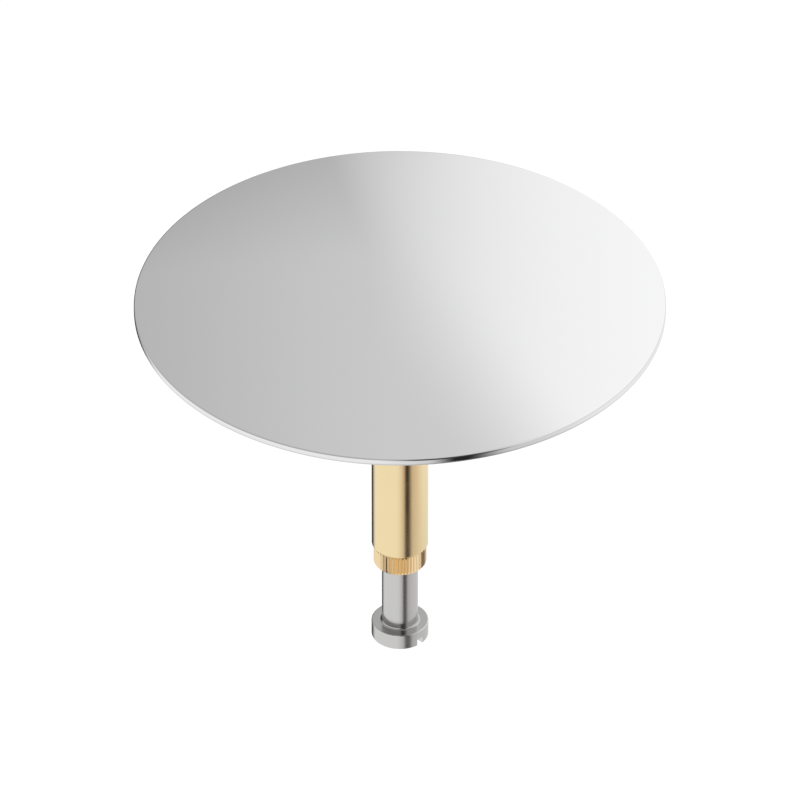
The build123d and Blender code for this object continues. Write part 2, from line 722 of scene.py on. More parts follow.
def start_surface(
    effects: Effects, name: str, metallic: float, smudge_scale: float, evenness: float
) -> Surface:
    """Start a material with a principled shader, smudges and rubbed edges.

    Args:
        effects: The shared effects.
        name: The material's name.
        metallic: 1 for a metal, 0 for a plastic or rubber.
        smudge_scale: How fine its smudges are.
        evenness: How evenly its edges are rubbed.

    Returns:
        The started material.
    """
    material = bpy.data.materials.new(name)
    bench = fresh_bench(material)
    shader = bench.add("ShaderNodeBsdfPrincipled")
    shader.inputs["Metallic"].default_value = metallic
    output = bench.add("ShaderNodeOutputMaterial")
    bench.feed(output.inputs["Surface"], shader.outputs[0])
    coordinates = bench.add("ShaderNodeTexCoord").outputs["Object"]
    edge = bench.add("ShaderNodeAttribute", attribute_name=WEAR_ATTRIBUTE).outputs["Fac"]
    smudges = bench.effect(effects.smudges, Vector=coordinates, Scale=smudge_scale)
    wear = bench.effect(effects.edge_wear, Vector=coordinates, Edge=edge, Evenness=evenness)
    return Surface(material, bench, shader, coordinates, smudges.outputs[0], wear.outputs[0])


@dataclass(frozen=True)
class PolishedChrome:
    """Bright chrome plating, mirror smooth above and only spun smooth beneath."""

    colour: Colour = (0.80, 0.80, 0.805)
    edge_colour: Colour = (0.86, 0.86, 0.865)
    under_colour: Colour = (0.62, 0.62, 0.625)
    smudge_scale: float = 45.0
    evenness: float = 0.6
    roughness: float = 0.045
    smudged_roughness: float = 0.075
    under_roughness: float = 0.32
    relief: float = 0.00012 * MM
    under_relief: float = 0.004 * MM
    top_span: tuple[float, float] = (0.15 * MM, 0.45 * MM)
    scratch_roughness: float = 0.03
    ring_pitch: float = 0.18 * MM
    ring_roughness: float = 0.12
    wear_share: float = 0.5

    def material(self, effects: Effects) -> bpy.types.Material:
        """Mix the finish.

        Args:
            effects: The shared effects.

        Returns:
            The material.
        """
        surface = start_surface(effects, "polished chrome", 1.0, self.smudge_scale, self.evenness)
        bench = surface.bench
        where = surface.coordinates
        height = bench.split(where)[2]
        top = bench.ramp(height, *self.top_span)
        scratches = bench.effect(effects.scratches, Vector=where, Scale=900.0, Sparseness=0.7).outputs[0]
        rings = bench.effect(effects.turning, Vector=where, Pitch=self.ring_pitch, Face=1.0)
        polished = bench.blend(surface.smudges, self.roughness, self.smudged_roughness)
        scratched = bench.maths("ADD", polished, bench.maths("MULTIPLY", scratches, self.scratch_roughness))
        uneven = bench.maths("MULTIPLY", rings.outputs["Tone"], self.ring_roughness)
        beneath = bench.maths("ADD", self.under_roughness, uneven)
        surface.rough(bench.blend(top, beneath, scratched))
        bright = surface.rubbed(self.colour, self.wear_share, self.edge_colour)
        surface.colour(bench.tint(top, self.under_colour, bright))
        spun = bench.maths("MULTIPLY", rings.outputs["Height"], self.under_relief)
        fine = bench.maths("MULTIPLY", scratches, -self.relief)
        surface.raise_by(bench.blend(top, spun, fine), 1.0)
        return surface.material


@dataclass(frozen=True)
class TurnedBrass:
    """Bare brass with the fine marks of the lathe."""

    name: str = "turned brass"
    colour: Colour = (0.865, 0.705, 0.418)
    dull_colour: Colour = (0.755, 0.58, 0.312)
    edge_colour: Colour = (0.90, 0.75, 0.50)
    smudge_scale: float = 160.0
    evenness: float = 0.5
    roughness: float = 0.15
    dull_roughness: float = 0.21
    mark_pitch: float = 0.05 * MM
    relief: float = 0.0004 * MM
    grain: Grain = Grain.WALL
    tone_share: float = 0.16
    smudge_share: float = 0.14
    wear_share: float = 0.6

    def material(self, effects: Effects) -> bpy.types.Material:
        """Mix the finish.

        Args:
            effects: The shared effects.

        Returns:
            The material.
        """
        surface = start_surface(effects, self.name, 1.0, self.smudge_scale, self.evenness)
        bench = surface.bench
        where = surface.coordinates
        face = 1.0 if self.grain is Grain.FACE else 0.0
        marks = bench.effect(effects.turning, Vector=where, Pitch=self.mark_pitch, Face=face)
        tone = bench.maths("MULTIPLY", marks.outputs["Tone"], self.tone_share)
        dulling = bench.maths("ADD", tone, bench.maths("MULTIPLY", surface.smudges, self.smudge_share))
        body = bench.tint(dulling, self.colour, self.dull_colour)
        surface.colour(surface.rubbed(body, self.wear_share, self.edge_colour))
        smudged = bench.maths("MULTIPLY", surface.smudges, 0.6)
        uneven = bench.maths("ADD", smudged, bench.maths("MULTIPLY", tone, 2.0))
        surface.rough(bench.blend(uneven, self.roughness, self.dull_roughness))
        surface.raise_by(bench.maths("MULTIPLY", marks.outputs["Height"], self.relief), 1.0)
        return surface.material


@dataclass(frozen=True)
class SatinSteel:
    """Stainless steel with a soft even sheen."""

    name: str = "satin steel"
    colour: Colour = (0.575, 0.57, 0.565)
    dull_colour: Colour = (0.49, 0.49, 0.49)
    edge_colour: Colour = (0.72, 0.72, 0.715)
    smudge_scale: float = 220.0
    evenness: float = 0.6
    roughness: float = 0.19
    dull_roughness: float = 0.27
    mark_pitch: float = 0.06 * MM
    relief: float = 0.0002 * MM
    grain: Grain = Grain.WALL
    dull_share: float = 0.14
    wear_share: float = 0.7

    def material(self, effects: Effects) -> bpy.types.Material:
        """Mix the finish.

        Args:
            effects: The shared effects.

        Returns:
            The material.
        """
        surface = start_surface(effects, self.name, 1.0, self.smudge_scale, self.evenness)
        bench = surface.bench
        where = surface.coordinates
        face = 1.0 if self.grain is Grain.FACE else 0.0
        marks = bench.effect(effects.turning, Vector=where, Pitch=self.mark_pitch, Face=face)
        scratches = bench.effect(effects.scratches, Vector=where, Scale=1200.0, Sparseness=0.62).outputs[0]
        uneven = bench.maths("ADD", marks.outputs["Tone"], surface.smudges)
        dulling = bench.maths("MULTIPLY", uneven, self.dull_share)
        body = bench.tint(dulling, self.colour, self.dull_colour)
        surface.colour(surface.rubbed(body, self.wear_share, self.edge_colour))
        smudged = bench.maths("MULTIPLY", surface.smudges, 0.5)
        uneven = bench.maths("ADD", smudged, bench.maths("MULTIPLY", scratches, 0.4))
        surface.rough(bench.blend(uneven, self.roughness, self.dull_roughness))
        relief = bench.maths("SUBTRACT", marks.outputs["Height"], bench.maths("MULTIPLY", scratches, 0.1))
        surface.raise_by(bench.maths("MULTIPLY", relief, self.relief), 1.0)
        return surface.material


@dataclass(frozen=True)
class MouldedPlastic:
    """Pale moulded plastic with a fine spark-eroded grain."""

    colour: Colour = (0.74, 0.74, 0.72)
    dusty_colour: Colour = (0.60, 0.595, 0.57)
    edge_colour: Colour = (0.80, 0.80, 0.785)
    smudge_scale: float = 110.0
    evenness: float = 0.7
    roughness: float = 0.42
    grain_scale: float = 9000.0
    relief: float = 0.006 * MM
    dust_share: float = 0.25
    dust_roughness: float = 0.12
    wear_share: float = 0.6

    def material(self, effects: Effects) -> bpy.types.Material:
        """Mix the finish.

        Args:
            effects: The shared effects.

        Returns:
            The material.
        """
        surface = start_surface(effects, "moulded plastic", 0.0, self.smudge_scale, self.evenness)
        bench = surface.bench
        where = surface.coordinates
        grain = bench.noise(where, self.grain_scale, 2.0)
        dust = bench.maths("MULTIPLY", surface.smudges, self.dust_share)
        body = bench.tint(dust, self.colour, self.dusty_colour)
        surface.colour(surface.rubbed(body, self.wear_share, self.edge_colour))
        rougher = bench.maths("MULTIPLY", surface.smudges, self.dust_roughness)
        surface.rough(bench.maths("ADD", self.roughness, rougher))
        surface.raise_by(bench.maths("MULTIPLY", grain, self.relief), 1.0)
        return surface.material


@dataclass(frozen=True)
class SoftRubber:
    """Black moulded rubber with a slight grey bloom."""

    colour: Colour = (0.022, 0.022, 0.023)
    bloom_colour: Colour = (0.075, 0.074, 0.072)
    edge_colour: Colour = (0.05, 0.05, 0.05)
    smudge_scale: float = 130.0
    evenness: float = 0.6
    roughness: float = 0.48
    grain_scale: float = 6000.0
    relief: float = 0.008 * MM
    speck_span: tuple[float, float] = (0.55, 0.75)
    bloom_share: float = 0.3
    bloom_roughness: float = 0.2
    wear_share: float = 0.5

    def material(self, effects: Effects) -> bpy.types.Material:
        """Mix the finish.

        Args:
            effects: The shared effects.

        Returns:
            The material.
        """
        surface = start_surface(effects, "soft rubber", 0.0, self.smudge_scale, self.evenness)
        bench = surface.bench
        where = surface.coordinates
        grain = bench.noise(where, self.grain_scale, 3.0)
        specks = bench.ramp(grain, *self.speck_span)
        dusting = bench.maths("MULTIPLY", bench.maths("ADD", surface.smudges, specks), self.bloom_share)
        body = bench.tint(dusting, self.colour, self.bloom_colour)
        surface.colour(surface.rubbed(body, self.wear_share, self.edge_colour))
        rougher = bench.maths("MULTIPLY", surface.smudges, self.bloom_roughness)
        surface.rough(bench.maths("ADD", self.roughness, rougher))
        surface.raise_by(bench.maths("MULTIPLY", grain, self.relief), 1.0)
        return surface.material


@dataclass(frozen=True)
class ShapeRule:
    """A Geometry Nodes tree with named inputs, applied to a piece and then made plain."""

    tree: bpy.types.NodeTree

    def apply(self, piece: bpy.types.Object, **values: object) -> None:
        """Shape a piece by the rule.

        Args:
            piece: The piece that the rule starts from.
            **values: The rule's inputs by name, with an underscore for each space.
        """
        modifier = piece.modifiers.new(self.tree.name, "NODES")
        modifier.node_group = self.tree
        for item in self.tree.interface.items_tree:
            label = item.name.replace(" ", "_")
            if item.in_out == "INPUT" and label in values:
                modifier[item.identifier] = values[label]
        settle(piece)


def start_rule(
    name: str, inputs: Sequence[tuple[str, str]]
) -> tuple[bpy.types.NodeTree, Bench, bpy.types.Node, bpy.types.Node]:
    """Start a Geometry Nodes tree that takes a mesh and gives one back.

    Args:
        name: The tree's name.
        inputs: Each further input's name and socket type.

    Returns:
        The tree, a bench on it, its input node and its output node.
    """
    tree = bpy.data.node_groups.new(name, "GeometryNodeTree")
    tree.interface.new_socket("Geometry", in_out="INPUT", socket_type="NodeSocketGeometry")
    for label, kind in (*inputs, ("Material", "NodeSocketMaterial")):
        tree.interface.new_socket(label, in_out="INPUT", socket_type=kind)
    tree.interface.new_socket("Geometry", in_out="OUTPUT", socket_type="NodeSocketGeometry")
    bench = Bench(tree)
    return tree, bench, bench.add("NodeGroupInput"), bench.add("NodeGroupOutput")


def end_rule(bench: Bench, given: bpy.types.Node, result: bpy.types.Node, shape: Socket) -> None:
    """Realize what a rule made and give it its material.

    Args:
        bench: The rule's bench.
        given: Its input node.
        result: Its output node.
        shape: The geometry that the rule made.
    """
    real = bench.add("GeometryNodeRealizeInstances")
    bench.feed(real.inputs[0], shape)
    finish = bench.add("GeometryNodeSetMaterial")
    bench.feed(finish.inputs["Geometry"], real.outputs[0])
    bench.feed(finish.inputs["Material"], given.outputs["Material"])
    bench.feed(result.inputs[0], finish.outputs[0])


def ring_of_copies() -> ShapeRule:
    """Make the rule that repeats a shape evenly round the plug's axis and welds the copies.

    Returns:
        The rule, with the inputs Count, Weld and Material.
    """
    inputs = (("Count", "NodeSocketInt"), ("Weld", "NodeSocketFloat"))
    tree, bench, given, result = start_rule("ring of copies", inputs)
    points = bench.add("GeometryNodePoints")
    bench.feed(points.inputs["Count"], given.outputs["Count"])
    step = bench.maths("DIVIDE", FULL_TURN, given.outputs["Count"])
    angle = bench.maths("MULTIPLY", bench.add("GeometryNodeInputIndex").outputs[0], step)
    copies = bench.add("GeometryNodeInstanceOnPoints")
    bench.feed(copies.inputs["Points"], points.outputs[0])
    bench.feed(copies.inputs["Instance"], given.outputs["Geometry"])
    bench.feed(copies.inputs["Rotation"], bench.join(0.0, 0.0, angle))
    real = bench.add("GeometryNodeRealizeInstances")
    bench.feed(real.inputs[0], copies.outputs[0])
    weld = bench.add("GeometryNodeMergeByDistance")
    bench.feed(weld.inputs["Geometry"], real.outputs[0])
    bench.feed(weld.inputs["Distance"], given.outputs["Weld"])
    end_rule(bench, given, result, weld.outputs[0])
    return ShapeRule(tree)


def screw_thread() -> ShapeRule:
    """Make the rule that cuts a right-hand thread into a turned shank.

    Returns:
        The rule, with the inputs Crest Radius, Depth, Pitch, Low, High, Run Out and Material.
    """
    crest_share = 0.125
    root_share = 0.75
    labels = ("Crest Radius", "Depth", "Pitch", "Low", "High", "Run Out")
    inputs = tuple((label, "NodeSocketFloat") for label in labels)
    tree, bench, given, result = start_rule("screw thread", inputs)
    size = {label: given.outputs[label] for label in labels}
    x, y, z = bench.split(bench.add("GeometryNodeInputPosition").outputs[0])
    angle = bench.maths("DIVIDE", bench.maths("ARCTAN2", y, x), FULL_TURN)
    turns = bench.maths("SUBTRACT", bench.maths("DIVIDE", z, size["Pitch"]), angle)
    phase = bench.maths("FRACT", turns)
    from_crest = bench.maths("MULTIPLY", bench.maths("ABSOLUTE", bench.maths("SUBTRACT", phase, 0.5)), 2.0)
    slope = bench.maths("SUBTRACT", from_crest, crest_share)
    groove = bench.maths("DIVIDE", slope, root_share - crest_share, clamp=True)
    rise = bench.maths("DIVIDE", bench.maths("SUBTRACT", z, size["Low"]), size["Run Out"], clamp=True)
    fall = bench.maths("DIVIDE", bench.maths("SUBTRACT", size["High"], z), size["Run Out"], clamp=True)
    depth = bench.maths("MULTIPLY", bench.maths("MULTIPLY", rise, fall), size["Depth"])
    cut = bench.maths("SUBTRACT", size["Crest Radius"], bench.maths("MULTIPLY", groove, depth))
    radius = bench.distance(x, y)
    tiny = MM * MM
    uncut = bench.maths("COMPARE", depth, 0.0, tiny)
    reach = bench.maths("ADD", cut, uncut)
    kept = bench.maths("MINIMUM", radius, reach)
    share = bench.maths("DIVIDE", kept, bench.maths("MAXIMUM", radius, tiny))
    move = bench.add("GeometryNodeSetPosition")
    bench.feed(move.inputs["Geometry"], given.outputs["Geometry"])
    place = bench.join(bench.maths("MULTIPLY", x, share), bench.maths("MULTIPLY", y, share), z)
    bench.feed(move.inputs["Position"], place)
    end_rule(bench, given, result, move.outputs[0])
    return ShapeRule(tree)


@dataclass(frozen=True)
class MetricThread:
    """The M5 thread of the stud and the screw."""

    rule: ShapeRule
    radius: float = 2.5 * MM
    pitch: float = 0.8 * MM
    depth: float = 0.46 * MM
    rows_per_turn: int = 10
    lead_in: float = 0.5 * MM
    lead_in_shares: tuple[float, ...] = (0.2, 0.4, 0.6, 0.8, 1.0)

    def shank(self, high: float, low: float) -> list[Point]:
        """List the points of a straight stretch, finely enough to show the thread.

        Args:
            high: Its upper end, in metres.
            low: Its lower end, in metres.

        Returns:
            The points, from the top down.
        """
        spacing = self.pitch / self.rows_per_turn
        return [(self.radius, height) for height in rows_between(high, low, spacing)]

    def tip(self, end: float, inwards: float) -> list[Point]:
        """List the points of the chamfer at an end.

        Args:
            end: The height of the end, in metres.
            inwards: 1 where the shank lies above the end and -1 where it lies below it.

        Returns:
            The points, from the shank to the end.
        """
        return [
            (self.radius - self.lead_in * share, end + inwards * self.lead_in * (1 - share))
            for share in self.lead_in_shares
        ]

    def cut(self, piece: bpy.types.Object, low: float, high: float, finish: bpy.types.Material) -> None:
        """Cut the thread into a piece, running out at both ends.

        Args:
            piece: The piece.
            low: Where the thread starts, in metres.
            high: Where it ends, in metres.
            finish: The piece's material.
        """
        self.rule.apply(
            piece,
            Crest_Radius=self.radius,
            Depth=self.depth,
            Pitch=self.pitch,
            Low=low,
            High=high,
            Run_Out=self.pitch,
            Material=finish,
        )


@dataclass(frozen=True)
class Workshop:
    """What the sub-assemblies share: effects, the rule for copies and the thread."""

    effects: Effects
    copies: ShapeRule
    thread: MetricThread


@dataclass(frozen=True)
class NodeBox:
    """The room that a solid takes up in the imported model."""

    radius: float
    top: float
    bottom: float

    @classmethod
    def of(cls, node: str) -> "NodeBox":
        """Measure a solid.

        Args:
            node: The solid's name.

        Returns:
            Its radius about the axis and its heights, in metres.
        """
        low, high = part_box(node)
        return cls(min(high.x, -low.x), high.z, low.z)


@dataclass
class Cover:
    """The chromed cover and the threaded stud fixed under it."""

    workshop: Workshop
    upper_round: float = 0.19 * MM
    lower_round: float = 0.25 * MM
    plate_segments: int = 512
    flange_radius: float = 3.25 * MM
    flange_thickness: float = 0.8 * MM
    stud_segments: int = 64

    def build(self) -> None:
        """Build and dress both pieces."""
        self._plate()
        self._stud()

    def _plate(self) -> None:
        """Turn the thin plate with its rounded rim."""
        box = NodeBox.of("cover_plate")
        corners = (
            Corner(0.0, box.top),
            Corner(box.radius, box.top, self.upper_round),
            Corner(box.radius, box.bottom, self.lower_round),
            Corner(0.0, box.bottom),
        )
        points = Outline(corners, closed=False, arc_steps=10).points()
        plate = turned("cover_disc", points, False, self.plate_segments)
        finish = PolishedChrome().material(self.workshop.effects)
        dress(plate, Body.PLUG, "cover_plate", finish)

    def _stud(self) -> None:
        """Turn the stud and cut its thread."""
        box = NodeBox.of("cover_stud")
        thread = self.workshop.thread
        flange_low = box.top - self.flange_thickness
        head = Outline(
            (
                Corner(0.0, box.top),
                Corner(self.flange_radius, box.top, 0.05 * MM),
                Corner(self.flange_radius, flange_low, 0.08 * MM),
                Corner(thread.radius, flange_low),
            ),
            closed=False,
        ).points()
        shank = thread.shank(flange_low, box.bottom + thread.lead_in)[1:]
        points = [*head, *shank, *thread.tip(box.bottom, 1.0), (0.0, box.bottom)]
        stud = turned("threaded_stud", points, False, self.stud_segments)
        finish = TurnedBrass(name="stud brass", roughness=0.24, dull_roughness=0.32)
        material = finish.material(self.workshop.effects)
        thread.cut(stud, box.bottom - thread.pitch, flange_low - thread.pitch, material)
        dress(stud, Body.PLUG, "cover_stud")


@dataclass
class SealStack:
    """What closes the drain under the cover: gasket, ribbed carrier, lip seal and washer."""

    workshop: Workshop
    segments: int = 256
    gasket_hole: float = 3.6 * MM
    carrier_hole: float = 2.7 * MM
    groove_radius: float = 18.0 * MM
    groove_top: float = -2.4 * MM
    groove_bottom: float = -4.6 * MM
    rim_bottom: float = -6.0 * MM
    lower_radius: float = 19.6 * MM
    wall_radius: float = 16.4 * MM
    hub_top_radius: float = 7.2 * MM
    hub_end_radius: float = 6.7 * MM
    rib_count: int = 12
    rib_root_width: float = 1.2 * MM
    rib_edge_width: float = 0.9 * MM
    rib_setback: float = 0.6 * MM
    rib_overlap: float = 0.3 * MM
    bead_radius: float = 20.5 * MM
    shoulder_radius: float = 21.1 * MM
    lip_bend: tuple[float, float] = (23.1 * MM, -4.05 * MM)
    lip_thickness: float = 0.8 * MM
    lip_tip: float = 0.6 * MM
    washer_hole: float = 2.65 * MM

    def build(self) -> None:
        """Build and dress the four pieces."""
        self._gasket()
        self._carrier()
        self._seal()
        self._washer()

    def _ring(self, name: str, corners: tuple[Corner, ...], arc_steps: int = 6) -> bpy.types.Object:
        """Turn a ring from its corners.

        Args:
            name: The piece's name.
            corners: The corners of its section.
            arc_steps: How finely its rounded corners are drawn.

        Returns:
            The ring.
        """
        points = Outline(corners, closed=True, arc_steps=arc_steps).points()
        return turned(name, points, True, self.segments)

    def _gasket(self) -> None:
        """Turn the flat gasket, squeezed slightly hollow at its rim."""
        box = NodeBox.of("cover_gasket")
        corners = (
            Corner(self.gasket_hole, box.top, 0.1 * MM),
            Corner(box.radius, box.top, 0.3 * MM),
            Corner(box.radius, box.bottom, 0.3 * MM),
            Corner(self.gasket_hole, box.bottom, 0.1 * MM),
        )
        gasket = self._ring("flat_gasket", corners)
        finish = SoftRubber().material(self.workshop.effects)
        dress(gasket, Body.PLUG, "cover_gasket", finish)

    def _rib(self) -> bpy.types.Object:
        """Make one drafted rib, from the hub to the outer wall.

        Returns:
            The rib, lying along +X.
        """
        bottom = NodeBox.of("seal_carrier").bottom
        inner = self.hub_end_radius - self.rib_overlap
        outer = self.wall_radius + self.rib_overlap
        top = self.groove_top + self.rib_overlap
        maker = bmesh.new()
        sides = []
        for side in (-1, 1):
            root = side * self.rib_root_width / 2
            edge = side * self.rib_edge_width / 2
            sides.append(
                [
                    maker.verts.new((inner, root, top)),
                    maker.verts.new((outer, root, top)),
                    maker.verts.new((outer, edge, self.rim_bottom + self.rib_setback)),
                    maker.verts.new((inner, edge, bottom + self.rib_setback)),
                ]
            )
        for side in sides:
            maker.faces.new(side)
        for index in range(4):
            ahead = (index + 1) % 4
            maker.faces.new((sides[0][index], sides[0][ahead], sides[1][ahead], sides[1][index]))
        return new_piece("carrier_ribs", maker)

    def _carrier(self) -> None:
        """Turn the dish, repeat the rib round it and join them."""
        box = NodeBox.of("seal_carrier")
        corners = (
            Corner(self.carrier_hole, box.top),
            Corner(box.radius, box.top, 0.4 * MM),
            Corner(box.radius, self.groove_top, 0.08 * MM),
            Corner(self.groove_radius, self.groove_top),
            Corner(self.groove_radius, self.groove_bottom),
            Corner(self.lower_radius, self.groove_bottom, 0.08 * MM),
            Corner(self.lower_radius, self.rim_bottom, 0.4 * MM),
            Corner(self.wall_radius, self.rim_bottom, 0.12 * MM),
            Corner(self.wall_radius, self.groove_top, 0.3 * MM),
            Corner(self.hub_top_radius, self.groove_top, 0.3 * MM),
            Corner(self.hub_end_radius, box.bottom, 0.12 * MM),
            Corner(self.carrier_hole, box.bottom),
        )
        carrier = self._ring("ribbed_carrier", corners, 4)
        finish = MouldedPlastic().material(self.workshop.effects)
        carrier.data.materials.append(finish)
        ribs = self._rib()
        soften_edges(ribs, 0.12 * MM, 60.0)
        self.workshop.copies.apply(ribs, Count=self.rib_count, Weld=0.0001 * MM, Material=finish)
        combine(carrier, ribs, "UNION")
        dress(carrier, Body.PLUG, "seal_carrier", sharp_over=30.0)

    def _seal(self) -> None:
        """Turn the lip seal, its lip bent like a bell and ribbed where it meets the drain."""
        box = NodeBox.of("profile_seal")
        bend_radius, bend_height = self.lip_bend
        tip_height = box.bottom + self.lip_tip / 2
        corners = (
            Corner(self.groove_radius, self.groove_top),
            Corner(self.shoulder_radius, self.groove_top, 0.3 * MM),
            Corner(bend_radius, bend_height, 2.5 * MM),
            *self._lip_ridges(Vector(self.lip_bend), Vector((box.radius, tip_height))),
            Corner(box.radius, tip_height, 0.15 * MM),
            Corner(box.radius - self.lip_tip, box.bottom, 0.15 * MM),
            Corner(bend_radius - self.lip_thickness, bend_height - self.lip_thickness, 1.2 * MM),
            Corner(self.bead_radius, self.groove_bottom, 0.15 * MM),
            Corner(self.groove_radius, self.groove_bottom),
        )
        seal = self._ring("lip_seal", corners)
        finish = SoftRubber(roughness=0.4).material(self.workshop.effects)
        dress(seal, Body.PLUG, "profile_seal", finish)

    def _lip_ridges(self, start: Vector, end: Vector) -> list[Corner]:
        """Cut fine grooves across the lower part of the lip's outer flank.

        Args:
            start: Where the flank bends.
            end: The lip's tip.

        Returns:
            The corners that the grooves add.
        """
        flank = end - start
        inwards = Vector((flank.y, -flank.x)).normalized() * 0.12 * MM
        corners = []
        for middle in (0.5, 0.68, 0.86):
            for share, depth in ((middle - 0.05, 0.0), (middle, 1.0), (middle + 0.05, 0.0)):
                place = start + flank * share + inwards * depth
                corners.append(Corner(place.x, place.y))
        return corners

    def _washer(self) -> None:
        """Turn the washer, one side of its rim rolled by the die."""
        box = NodeBox.of("clamp_washer")
        corners = (
            Corner(self.washer_hole, box.top, 0.15 * MM),
            Corner(box.radius, box.top, 0.3 * MM),
            Corner(box.radius, box.bottom, 0.05 * MM),
            Corner(self.washer_hole, box.bottom, 0.05 * MM),
        )
        washer = self._ring("stamped_washer", corners)
        finish = SatinSteel(name="washer steel", roughness=0.3, grain=Grain.FACE)
        material = finish.material(self.workshop.effects)
        dress(washer, Body.PLUG, "clamp_washer", material)


@dataclass
class Sleeve:
    """The brass sleeve, tapped right through."""

    workshop: Workshop
    segments: int = 192
    chamfer: float = 0.2 * MM
    chamfer_round: float = 0.05 * MM
    bore_radius: float = 2.55 * MM
    countersink: float = 0.35 * MM

    def build(self) -> None:
        """Build and dress the sleeve."""
        box = NodeBox.of("stem_sleeve")
        wide = self.bore_radius + self.countersink
        narrow = box.radius - self.chamfer
        corners = (
            Corner(wide, box.top),
            Corner(narrow, box.top, self.chamfer_round),
            Corner(box.radius, box.top - self.chamfer, self.chamfer_round),
            Corner(box.radius, box.bottom + self.chamfer, self.chamfer_round),
            Corner(narrow, box.bottom, self.chamfer_round),
            Corner(wide, box.bottom),
            Corner(self.bore_radius, box.bottom + self.countersink),
            Corner(self.bore_radius, box.top - self.countersink),
        )
        points = Outline(corners, closed=True, arc_steps=3).points()
        sleeve = turned("brass_sleeve", points, True, self.segments)
        finish = TurnedBrass(name="sleeve brass").material(self.workshop.effects)
        dress(sleeve, Body.PLUG, "stem_sleeve", finish)


@dataclass
class LockNut:
    """The round brass nut that locks the screw, straight knurled all round."""

    workshop: Workshop
    tooth_count: int = 46
    tooth_depth: float = 0.25 * MM
    first_tooth: float = 2.3
    upper_chamfer: float = 0.45 * MM
    lower_chamfer: float = 0.3 * MM
    bore_radius: float = 2.55 * MM
    countersink: float = 0.35 * MM
    crest_share: float = 0.04
    root_share: float = 0.03

    def build(self) -> None:
        """Build one tooth with its slice of the nut, repeat it round and dress the nut."""
        nut = self._slice()
        finish = TurnedBrass(
            name="nut brass",
            colour=(0.85, 0.65, 0.38),
            dull_colour=(0.80, 0.58, 0.30),
            edge_colour=(0.87, 0.68, 0.42),
            roughness=0.14,
            dull_roughness=0.2,
            relief=0.0003 * MM,
        )
        self.workshop.copies.apply(
            nut,
            Count=self.tooth_count,
            Weld=0.001 * MM,
            Material=finish.material(self.workshop.effects),
        )
        dress(nut, Body.NUT, "lock_nut", sharp_over=25.0)

    def _station(self, outer: float) -> list[Point]:
        """Draw the nut's section where its wall has one radius.

        Args:
            outer: The wall's radius there, in metres.

        Returns:
            The section's points, from the top of the bore round to its bottom.
        """
        box = NodeBox.of("lock_nut")
        wide = self.bore_radius + self.countersink
        upper = box.radius - self.upper_chamfer
        lower = box.radius - self.lower_chamfer
        return [
            (self.bore_radius, box.top - self.countersink),
            (wide, box.top),
            (upper, box.top),
            (outer, box.top - (outer - upper)),
            (outer, box.bottom + (outer - lower)),
            (lower, box.bottom),
            (wide, box.bottom),
            (self.bore_radius, box.bottom + self.countersink),
        ]

    def _slice(self) -> bpy.types.Object:
        """Make the slice of the nut that one tooth takes up.

        Returns:
            The slice, centred on the first tooth.
        """
        crest = NodeBox.of("lock_nut").radius
        root = crest - self.tooth_depth
        pitch = FULL_TURN / self.tooth_count
        stations = (
            (-0.5, root),
            (-0.5 + self.root_share / 2, root),
            (-self.crest_share / 2, crest),
            (self.crest_share / 2, crest),
            (0.5 - self.root_share / 2, root),
            (0.5, root),
        )
        maker = bmesh.new()
        columns = []
        for share, outer in stations:
            angle = math.radians(self.first_tooth) + share * pitch
            column = [
                maker.verts.new((radius * math.cos(angle), radius * math.sin(angle), height))
                for radius, height in self._station(outer)
            ]
            columns.append(column)
        for first, second in zip(columns, columns[1:]):
            for index in range(len(first)):
                ahead = (index + 1) % len(first)
                maker.faces.new((first[index], first[ahead], second[ahead], second[index]))
        return new_piece("knurled_nut", maker)


